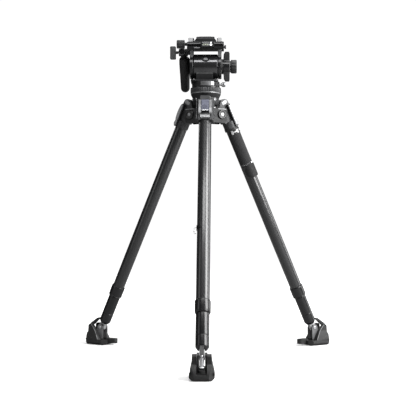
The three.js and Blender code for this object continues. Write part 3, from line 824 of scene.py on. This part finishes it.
def side_hook():
    place = LEG["front"]
    low, high = local_span("side_hook", place)
    inner = TUBE_R + WORN_GAP
    band = on_tube(wrap(inner, inner + 1.2, 200, 340, low.z + 12, high.z, 30))
    stand_for("side_hook", "hook_band", band, place, "black", 0.3)
    spots = [
        (TUBE_X, -inner - 1.0, low.z + 20), (TUBE_X, -inner - 6.0, low.z + 19),
        (TUBE_X, -inner - 7.4, low.z + 12), (TUBE_X, -inner - 7.2, low.z + 4),
        (TUBE_X, -inner - 4.5, low.z + 1.4), (TUBE_X, -inner - 2.2, low.z + 3.4),
    ]
    wire("leg_front", "hook_wire", spots, place, 1.0, "steel")


# ---------- crown ----------

def crown():
    node_copy("crown", "cast", 1.0, 3)
    ring_low, ring_high = local_span("levelling_ring", TRIPOD)
    low, high = local_span("bowl_collar", TRIPOD)
    outer = ring_high.y
    rim = ring_low.z - 0.3
    bowl = turned([(0, low.z), (36.4, low.z), (37, low.z + 0.8), (outer - 1.2, rim - 1.6),
                   (outer - 1.0, rim), (33, rim), (33, high.z), (0, high.z)], 96, 0.6)
    stand_for("bowl_collar", "bowl_cone", bowl, TRIPOD, "cast")
    knurl = gripped(outer, 1.3, 54, ring_low.z + 2.6, ring_high.z - 2.2, 0.8, 4)
    stand_for("levelling_ring", "ring_knurl", knurl, TRIPOD, "cast_mid")
    lips = {"low": (ring_low.z, ring_low.z + 2.8, "cast_pale"),
            "high": (ring_high.z - 2.4, ring_high.z, "satin")}
    for name, (z0, z1, look) in lips.items():
        trim("ring", f"ring_lip_{name}", hoop(outer - 0.7, 34, z0, z1, 0.7, 96), TRIPOD, look)
    for side, angle in (("front", -90), ("right", 30), ("left", 150)):
        for turn in (-44, 44):
            screw = socket_screw(3.4, 2.0).turn("Y", 90).at(36.2, 0, low.z - 5.4).turn("Z", angle + turn)
            trim("crown", f"crown_screw_{side}_{'a' if turn < 0 else 'b'}", screw, TRIPOD, "steel")
        for way in (-1, 1):
            edge = block(28, 54.5, way * 20.4 - 0.35, way * 20.4 + 0.35, 678.4, 680.4)
            trim("crown", f"ear_edge_{side}_{'near' if way < 0 else 'far'}", edge.turn("Z", angle),
                 TRIPOD, "cast_pale", 0.3)


# ---------- head ----------

def x_disc(shape, x, y, z):
    return shape.along_x().at(x, y, z)


def cross_slab(outline, x0, x1):
    """An outline of (y, z) pairs between two values of x."""
    n = len(outline)
    points = [(x, y, z) for x in (x0, x1) for y, z in outline]
    sides = [[i, (i + 1) % n, n + (i + 1) % n, n + i] for i in range(n)]
    return Shape(points, [list(range(n))[::-1], list(range(n, 2 * n))] + sides)


def bent_plate(radius, thick, from_angle, to_angle, z0, z1):
    """A thin plate that follows a drum's round wall between two angles."""
    return wrap(radius, radius + thick, from_angle, to_angle, z0, z1, 20)


def pan_base():
    low, high = local_span("pan_housing", TRIPOD)
    radius = high.x
    top = low.z + 15.5
    wall = turned([(30, low.z), (radius - 0.6, low.z), (radius, low.z + 0.8), (radius, top - 1.6),
                   (radius - 1.5, top), (30, top)], 110, 0.5, closed=True)
    node_copy("pan_housing", "cast", 0.9, 3)
    trim("pan", "pan_wall", wall.at(z=0.02), TRIPOD, "cast")
    z0, z1 = low.z + 2.2, low.z + 13.4
    label = bent_plate(radius - 0.3, 0.9, -110, -69, z0, z1)
    trim("pan", "pan_label", label, TRIPOD, "cast_pale", 0.3)
    # A shiny steel patch where the key light's highlight falls on the housing: painted highlight.
    bright = bent_plate(radius - 0.3, 1.2, -68, -54, z0 + 0.4, z1 - 0.4)
    trim("pan", "pan_highlight_patch", bright, TRIPOD, "screw", 0.4)
    for k in range(3):
        line = bent_plate(radius - 0.2, 1.15, -107, -74 - k * 7, z0 + 2.2 + k * 3.0, z0 + 3.2 + k * 3.0)
        trim("pan", f"label_line_{k + 1}", line, TRIPOD, "cast_mid", 0.2)
    boss = turned([(0, 30), (7.2, 30), (7.2, 38.6), (6.4, 39.6), (4.6, 39.6), (4.2, 38.4), (0, 38.4)],
                  44, 0.4)
    trim("pan", "pan_boss", boss.along_x().turn("Z", -34).at(z=low.z + 7.6), TRIPOD, "cast_mid")


def fluid_drum():
    arm_low, arm_high = local_span("arm_right", TRIPOD)
    inner = arm_low.x - 0.3
    radius = (arm_high.y - arm_low.y) / 2
    body = turned([
        (0, -inner), (radius - 2.2, -inner), (radius - 0.7, -inner + 1.5),
        (radius - 0.5, -inner + 3), (radius - 0.5, inner - 3), (radius - 0.7, inner - 1.5),
        (radius - 2.2, inner), (0, inner),
    ], 140, 0.4)
    stand_for("drum", "drum_shell", x_disc(body, 0, 0, TILT_Z), TRIPOD, "drum")
    ovals = (
        ("rim", 12.5, 7.6, 0.75, "black"),
        ("face", 11.4, 6.6, 1.0, "satin"),
        ("centre", 5.6, 3.6, 1.5, "cast_pale"),
    )
    for name, wide, tall, thick, look in ovals:
        oval = [(wide * math.cos(2 * math.pi * k / 48), tall * math.sin(2 * math.pi * k / 48))
                for k in range(48)]
        badge = plate(oval, 0, thick).turn("X", 90).at(0, -radius + 0.55, 0).turn("X", -27).at(z=TILT_Z)
        trim("pan", f"drum_badge_{name}", badge, TRIPOD, look, 0.3)
    for side, sign in (("left", -1), ("right", 1)):
        low, high = local_span(f"arm_{side}", TRIPOD)
        hub = turned([(0, low.x), (radius - 1.0, low.x), (radius, low.x + 1.0),
                      (radius, high.x - 1.4), (radius - 1.4, high.x), (0, high.x)], 140, 0.3)
        stand_for(f"arm_{side}", f"arm_hub_{side}", x_disc(hub, 0, 0, TILT_Z), TRIPOD, "satin")
        profile = rounded([(-25, TILT_Z + 14), (25, TILT_Z + 14), (23.6, 833), (26.8, high.z),
                           (-26.8, high.z), (-23.6, 833)], 2.5)
        trim("tilt", f"arm_web_{side}", cross_slab(profile, low.x, high.x), TRIPOD, "cast_mid",
             1.0)
        face = cross_slab(rounded([(-27, TILT_Z + 21), (-24.5, TILT_Z + 21), (-23.2, 834),
                                   (-26.3, high.z - 0.5), (-27, high.z - 0.5)], 0.3),
                          low.x + 1.2, high.x - 1.2)
        trim("tilt", f"arm_face_{side}", face, TRIPOD, "cast_pale", 0.4)
        outside = high.x if sign > 0 else low.x
        for y in (-16, 16):
            screw = socket_screw(2.6, 1.0).turn("Y", 90 * sign).at(outside - 0.3 * sign, y, 842)
            trim("tilt", f"arm_screw_{side}_{'a' if y < 0 else 'b'}", screw, TRIPOD, "steel")


def platform():
    low, high = local_span("platform", TRIPOD)
    level_low, level_high = local_span("bubble_level", TRIPOD)
    top = level_high.z + 0.5
    node_copy("platform", "cast", 1.0, 3)
    bar = rounded([(-50, 839.5), (-50, 845), (-50, 852), (-47.4, top - 0.6), (-44, top - 0.2),
                   (-44, 838.2), (-47.6, 838.2)], 2.6)
    spans = {"left": (low.x + 0.6, level_low.x - 1.6), "right": (level_high.x + 1.6, high.x - 0.6)}
    for name, (x0, x1) in spans.items():
        trim("tilt", f"deck_bar_{name}", cross_slab(bar, x0, x1), TRIPOD, "satin", 0.8)
        # A paler strip along each bar's top front edge: painted highlight.
        crest = block(x0 + 2, x1 - 2, -48.4, -46.2, top - 1.2, top - 0.2)
        trim("tilt", f"deck_top_highlight_{name}", crest, TRIPOD, "cast_mid", 0.5)
    scale = block(-31, -14.5, -50.4, -49.2, 838.8, 841.6)
    trim("tilt", "deck_scale", scale, TRIPOD, "cast_pale", 0.4)
    for name, x0, x1 in (("left", -46.4, -35.0), ("right", 33.6, 44.4)):
        cap = round_block(x0, x1, -38, 42, high.z - 0.8, high.z, 2.0)
        trim("tilt", f"rail_cap_{name}", cap, TRIPOD, "pale", 0.3)
        ends = round_block(x0 - 0.3, x1 + 0.3, -40.6, -39.4, top + 1.6, high.z - 0.4, 0.2)
        trim("tilt", f"rail_face_{name}", ends, TRIPOD, "pale", 0.3)
    for name, x in (("left", -40.5), ("right", 39)):
        for y in (-28, 32):
            screw = socket_screw(3.0, 0.5).at(x, y, high.z - 0.5)
            trim("tilt", f"rail_screw_{name}_{'a' if y < 0 else 'b'}", screw, TRIPOD, "black")

    front, back = level_low.y, level_high.y
    bezel = slab(rounded([
        (level_low.x, level_low.z), (level_high.x, level_low.z), (level_high.x, level_high.z),
        (level_low.x, level_high.z)], 1.8), front + 0.7, back)
    stand_for("bubble_level", "level_bezel", bezel, TRIPOD, "black", 0.6)
    middle = (level_low.z + level_high.z) / 2 - 1.0
    window = slab(rounded([(-9, middle - 3.4), (9.5, middle - 3.4), (9.5, middle + 3), (-9, middle + 3)],
                          2.4), front, front + 1)
    trim("tilt", "level_window", window, TRIPOD, "cast_pale", 0.4)
    vial = rod(2.2, -7.4, 8.0, 1.0, 40).along_x().at(0, front + 1.0, middle)
    trim("tilt", "level_vial", vial, TRIPOD, "fluid")
    for x in (-2.6, 2.6):
        line = rod(2.35, x - 0.25, x + 0.25, 0.05, 32).along_x().at(0, front + 1.0, middle)
        trim("tilt", f"level_line_{'a' if x < 0 else 'b'}", line, TRIPOD, "black")
    lamp = slab(rounded([(11.6, middle - 3.2), (18.6, middle - 3.2), (18.6, middle + 3), (11.6, middle + 3)],
                        2.6), front, front + 1)
    trim("tilt", "level_lamp", lamp, TRIPOD, "clear", 0.4)
    # A pale strip along the top of the level and a white piece at its right end: painted highlight along the
    # level's upper edge.
    strip = slab(rounded([(-9, level_high.z - 4.6), (11, level_high.z - 4.6), (11, level_high.z - 1.6),
                          (-9, level_high.z - 1.6)], 1.2), front + 0.1, front + 1)
    trim("tilt", "level_top_highlight", strip, TRIPOD, "cast_pale", 0.3)
    end = slab(rounded([(12.4, level_high.z - 4.6), (18.4, level_high.z - 4.6), (17.4, level_high.z - 1.6),
                        (12.4, level_high.z - 1.6)], 1.2), front + 0.1, front + 1)
    trim("tilt", "level_top_highlight_end", end, TRIPOD, "clear", 0.3)


def camera_plate():
    low, high = local_span("camera_plate", TRIPOD)
    body = slab(rounded([
        (low.x, low.z), (high.x, low.z), (high.x, low.z + 2.5), (25.5, high.z), (-25.5, high.z),
        (low.x, low.z + 2.5)], 0.5), low.y, high.y)
    stand_for("camera_plate", "slide_plate", body, TRIPOD, "black", 0.7)
    low, high = local_span("plate_pad", TRIPOD)
    pad = slab(rounded([
        (low.x, low.z), (high.x, low.z), (high.x, high.z - 2.5), (23, high.z - 1.1), (-23, high.z - 1.1),
        (low.x, high.z - 2.5)], 0.6), low.y, high.y)
    stand_for("plate_pad", "pad_body", pad, TRIPOD, "cast_mid", 0.5)
    for k in range(15):
        y = low.y + 4.5 + k * 5.5
        rib = round_block(-16, 16, y - 1.6, y + 1.6, high.z - 1.3, high.z, 0.8)
        trim("plate", f"pad_rib_{k + 1}", rib, TRIPOD, "rubber", 0.2)
    screw = socket_screw(4.8, 1.2).at(0, 0, high.z - 1.1)
    trim("plate", "camera_screw", screw, TRIPOD, "steel")


def deck_knobs():
    low, high = local_span("plate_lock_knob", TRIPOD)
    centre = (low + high) / 2
    shape = gripped(11.7, 0.9, 18, low.x, low.x + 22, 1.4, 4) + rod(4.4, low.x + 21, high.x, 0.3, 32)
    stand_for("plate_lock_knob", "plate_lock_wheel", x_disc(shape, 0, centre.y, centre.z), TRIPOD,
              "plastic")
    for name, x in (("outer", low.x + 3.4), ("inner", low.x + 18.6)):
        band = hoop(11.75, 9, x - 0.8, x + 0.8, 0.4, 72)
        trim("plate_lock", f"plate_lock_band_{name}", x_disc(band, 0, centre.y, centre.z), TRIPOD,
             "satin")
    face = turned([(0, low.x), (6.5, low.x), (7.2, low.x + 0.7), (0, low.x + 0.7)], 40, 0.2)
    trim("plate_lock", "plate_lock_cap", x_disc(face, 0, centre.y, centre.z), TRIPOD, "cast_mid")

    low, high = local_span("side_knob", TRIPOD)
    centre = (low + high) / 2
    shape = gripped(5.6, 0.5, 12, low.x + 1.4, high.x, 0.8, 4) + rod(3.4, low.x, low.x + 2, 0.2, 24)
    stand_for("side_knob", "small_wheel", x_disc(shape, 0, centre.y, centre.z), TRIPOD, "plastic")


def drag_controls():
    low, high = local_span("drag_dial", TRIPOD)
    hub = turned([(0, low.x), (20.4, low.x), (21, low.x + 0.6), (21, low.x + 3), (20.4, low.x + 3.5),
                  (20.4, low.x + 4.3), (21, low.x + 4.8), (21, high.x - 0.8), (20.2, high.x), (0, high.x)],
                 96, 0.4)
    stand_for("drag_dial", "dial_hub", x_disc(hub, 0, 0, TILT_Z), TRIPOD, "satin")
    outline = rounded([(48.7, 14), (66.4, 14), (66.4, 35.6), (63.2, 39.7), (54.2, 39.7), (49.8, 32.8)], 1.6)
    wing = slab(outline, -12.6, 12.6)
    for name, turn in (("upper", 0), ("lower", 180)):
        trim("dial", f"dial_wing_{name}", wing.turn("X", turn).at(z=TILT_Z), TRIPOD, "plastic",
             1.6)
        for k in range(4):
            ridge = block(53.5, 65.4, -10.5 + k * 6, -8.3 + k * 6, 38.6, 40.0)
            trim("dial", f"dial_ridge_{name}_{k + 1}", ridge.turn("X", turn).at(z=TILT_Z), TRIPOD,
                 "plastic", 0.5)
        # A paler thin bar across one face of each wing: painted highlight line.
        lip = block(50.6, 65.6, -13.0, -11.8, 23.4, 24.6)
        trim("dial", f"dial_highlight_line_{name}", lip.turn("X", turn).at(z=TILT_Z), TRIPOD, "cast_mid",
             0.3)

    low, high = local_span("drag_knob", TRIPOD)
    wheel = gripped(19, 1.3, 12, low.x + 2.6, high.x, 2.4, 6)
    neck = rod(16, low.x, low.x + 4, 0.4)
    stand_for("drag_knob", "drag_wheel", x_disc(wheel + neck, 0, 0, TILT_Z), TRIPOD, "plastic")
    face = turned([(8, high.x - 0.6), (12.8, high.x - 0.6), (13.2, high.x - 0.1), (12.8, high.x + 0.2),
                   (8.4, high.x + 0.2), (8, high.x - 0.2)], 60, 0.2, closed=True)
    trim("knob", "drag_face", x_disc(face, 0, 0, TILT_Z), TRIPOD, "satin")

    low, high = local_span("pan_lock_knob", TRIPOD)
    centre = (low + high) / 2
    shape = turned([(0, low.x), (3.2, low.x), (3.2, high.x - 11), (5, high.x - 11), (6.6, high.x - 9),
                    (6.2, high.x - 7.6), (6.2, high.x - 3.4), (6.6, high.x - 2), (5, high.x),
                    (0, high.x)], 40, 0.5)
    stand_for("pan_lock_knob", "pan_lock_wheel", x_disc(shape, 0, centre.y, centre.z), TRIPOD,
              "steel")
    for k in range(10):
        flute = rod(0.7, high.x - 7.8, high.x - 3.2, 0.3, 12).at(6.0, 0, 0).turn("Z", k * 36)
        trim("pan_lock", f"pan_lock_flute_{k + 1}", x_disc(flute, 0, centre.y, centre.z), TRIPOD,
             "black")


def pan_handle():
    swing = Vector(joints["handle_swing"]["pos_m"]) / MM
    pivot = Vector((-66, 0, swing.z))
    grip_x = -60
    lean = 33
    low, high = local_span("rosette_base", TRIPOD)
    teeth = gripped(10.5, 0.5, 30, low.x, low.x + 4.6, 0.3, 3)
    link = rod(7, low.x + 4, high.x, 0.3, 40)
    stand_for("rosette_base", "rosette_teeth", x_disc(teeth + link, 0, 0, pivot.z), TRIPOD,
              "cast_mid")
    low, high = local_span("handle_clamp", TRIPOD)
    disc = turned([(0, -75), (9.6, -75), (10.5, -74), (10.5, high.x - 0.8), (9.9, high.x), (0, high.x)],
                  60, 0.4)
    boss = turned([(0, -11.6), (9.6, -11.6), (9.6, 8), (8.6, 9), (0, 9)], 60, 0.4)
    neck = turned([(0, -15), (8.3, -15), (8.4, -13), (7.0, -11), (7.0, 0), (0, 0)], 48, 0.5)
    shape = x_disc(disc, 0, 0, pivot.z) + boss.along_y().at(pivot.x, 0, pivot.z)
    shape += neck.turn("X", lean).at(grip_x - 2.2, 0, pivot.z)
    stand_for("handle_clamp", "clamp_body", shape, TRIPOD, "cast")
    rim = turned([(7.6, -12.9), (9.0, -12.9), (9.5, -12.4), (9.5, -11), (7.6, -11)], 60, 0.2, closed=True)
    cap = turned([(0, -12.4), (6.2, -12.4), (7.0, -11.9), (7.0, -11), (0, -11)], 60, 0.3)
    trim("handle", "clamp_rim", rim.along_y().at(pivot.x, 0, pivot.z), TRIPOD, "cast_pale")
    trim("handle", "clamp_cap", cap.along_y().at(pivot.x, 0, pivot.z), TRIPOD, "cast_mid")
    grip = turned(
        [(0, -119.5)] + [(12.5 * math.sin(math.radians(a)), -107 - 12.5 * math.cos(math.radians(a)))
                         for a in range(10, 91, 10)] +
        [(13.5, -74), (14.5, -48), (15.0, -34), (14.8, -21.4), (13.6, -17.2), (12.0, -15.4), (0, -15.4)],
        96, 0.5)
    stand_for("handle_grip", "grip_foam", grip.turn("X", lean).at(grip_x, 0, pivot.z), TRIPOD, "grip")
    for k, (r, z) in enumerate(((14.9, -24), (15.0, -28), (12.7, -103))):
        band = hoop(r, r - 1.2, z - 0.7, z + 0.7, 0.4, 96)
        trim("handle", f"grip_band_{k + 1}", band.turn("X", lean).at(grip_x, 0, pivot.z), TRIPOD,
             "rubber")
    low, high = local_span("t_knob", TRIPOD)
    bar = round_block(low.x, low.x + 16.4, -7, 7, -18, 18, 4.5).at(z=pivot.z - 1)
    stem = rod(4, low.x + 15, high.x, 0.3, 32)
    stand_for("t_knob", "t_handle", bar, TRIPOD, "knob_grey", 2.4)
    trim("handle_lock", "t_stem", x_disc(stem, 0, 0, pivot.z), TRIPOD, "black")
    for z in (pivot.z - 15, pivot.z + 13):
        rib = round_block(low.x, low.x + 16.3, -6.9, 6.9, z - 0.8, z + 0.8, 2)
        name = "low" if z < pivot.z else "high"
        trim("handle_lock", f"t_band_{name}", rib, TRIPOD, "plastic", 0.3)


# ---------- stage ----------

def camera():
    """The eye stands 2.34 m off, 0.37 m up, and a little to the right of the front leg."""
    distance, height = 2.34, 0.369
    swing = math.radians(1.37)
    look_left = math.radians(1.37 - 0.15)
    look_up = math.radians(0.85)
    data = bpy.data.cameras.new("camera")
    data.lens = 72.9
    data.sensor_width = 36
    eye = bpy.data.objects.new("camera", data)
    bpy.context.scene.collection.objects.link(eye)
    eye.location = (AXIS.x + distance * math.sin(swing), AXIS.y - distance * math.cos(swing), height)
    eye.rotation_euler = (math.radians(90) + look_up, 0, look_left)
    bpy.context.scene.camera = eye


def area_light(name, spot, target, size, power):
    data = bpy.data.lights.new(name, "AREA")
    data.shape = "RECTANGLE"
    data.size, data.size_y = size
    data.energy = power
    lamp = bpy.data.objects.new(name, data)
    bpy.context.scene.collection.objects.link(lamp)
    lamp.location = spot
    lamp.rotation_euler = (Vector(target) - Vector(spot)).to_track_quat("-Z", "Y").to_euler()


def link(tree, source, target):
    tree.links.new(source, target)


def graded(tree, value, start, end, low, high):
    """A soft step of a value between two others."""
    step = tree.nodes.new("ShaderNodeMapRange")
    step.interpolation_type = "SMOOTHSTEP"
    for socket, amount in zip(("From Min", "From Max", "To Min", "To Max"), (start, end, low, high)):
        step.inputs[socket].default_value = amount
    link(tree, value, step.inputs["Value"])
    return step.outputs["Result"]


def surround():
    """White behind the object, and a dim room round it that leaves black finishes black."""
    world = bpy.data.worlds.new("studio")
    bpy.context.scene.world = world
    world.use_nodes = True
    tree = world.node_tree
    room = tree.nodes["Background"]
    room.inputs["Color"].default_value = (1, 1, 1, 1)
    room.inputs["Strength"].default_value = 0.05
    white = tree.nodes.new("ShaderNodeBackground")
    white.inputs["Color"].default_value = (1, 1, 1, 1)
    white.inputs["Strength"].default_value = 1.05
    seen = tree.nodes.new("ShaderNodeLightPath")
    mix = tree.nodes.new("ShaderNodeMixShader")
    link(tree, seen.outputs["Is Camera Ray"], mix.inputs[0])
    link(tree, room.outputs[0], mix.inputs[1])
    link(tree, white.outputs[0], mix.inputs[2])
    link(tree, mix.outputs[0], tree.nodes["World Output"].inputs["Surface"])


def pale_floor():
    reach = 12.0
    mesh = bpy.data.meshes.new("floor")
    corners = [(-reach, -reach), (reach, -reach), (reach, reach), (-reach, reach)]
    mesh.from_pydata([(x, y, -0.0006) for x, y in corners], [], [(0, 1, 2, 3)])
    ground = bpy.data.objects.new("floor", mesh)
    bpy.context.scene.collection.objects.link(ground)
    pale = Paint("pale_floor", (0.9, 0.9, 0.9), 0.6)
    tone = pale.blend(pale.noise(1.5), (0.89, 0.89, 0.89), (0.91, 0.91, 0.91))
    tree = pale.material.node_tree
    shader = tree.nodes["Principled BSDF"]
    shader.inputs["Emission Color"].default_value = (1, 1, 1, 1)
    place = tree.nodes.new("ShaderNodeNewGeometry")
    length = tree.nodes.new("ShaderNodeVectorMath")
    length.operation = "LENGTH"
    link(tree, place.outputs["Position"], length.inputs[0])
    seen = tree.nodes.new("ShaderNodeLightPath")
    paint = tree.nodes.new("ShaderNodeMix")
    paint.data_type = "RGBA"
    paint.inputs["A"].default_value = (0.3, 0.3, 0.3, 1)
    link(tree, seen.outputs["Is Camera Ray"], paint.inputs["Factor"])
    link(tree, tone, paint.inputs["B"])
    link(tree, paint.outputs["Result"], shader.inputs["Base Color"])
    glow = tree.nodes.new("ShaderNodeMath")
    glow.operation = "MULTIPLY"
    link(tree, graded(tree, length.outputs["Value"], 0.4, 1.6, 0.3, 1.0), glow.inputs[0])
    link(tree, seen.outputs["Is Camera Ray"], glow.inputs[1])
    link(tree, glow.outputs[0], shader.inputs["Emission Strength"])
    ground.data.materials.append(pale.material)


def studio():
    bpy.context.scene.view_settings.view_transform = "Standard"
    surround()
    pale_floor()
    middle = (AXIS.x, AXIS.y, 0.55)
    area_light("key_right", (1.75, -0.85, 1.5), middle, (1.3, 2.2), 115)
    area_light("rim_right", (2.2, 0.9, 1.1), middle, (1.0, 2.2), 26)
    area_light("front_top", (AXIS.x, AXIS.y - 1.75, 2.5), (AXIS.x, AXIS.y, 0.8), (1.7, 0.6), 32)
    area_light("overhead", (AXIS.x + 0.2, AXIS.y + 0.3, 2.6), middle, (1.6, 1.2), 24)
    area_light("fill_left", (-2.1, -1.0, 0.9), middle, (0.8, 2.0), 7)
    area_light("back_soft", (-1.3, 2.7, 2.0), middle, (1.6, 1.2), 16)


camera()
for side in SIDES:
    leg_head(side, LEG[side])
    release_lever(side, LEG[side])
    tubes(side, LEG[side])
    ankle(side, LEG[side])
    shoe(side)
strap()
side_hook()
crown()
pan_base()
fluid_drum()
platform()
camera_plate()
deck_knobs()
drag_controls()
pan_handle()
studio()
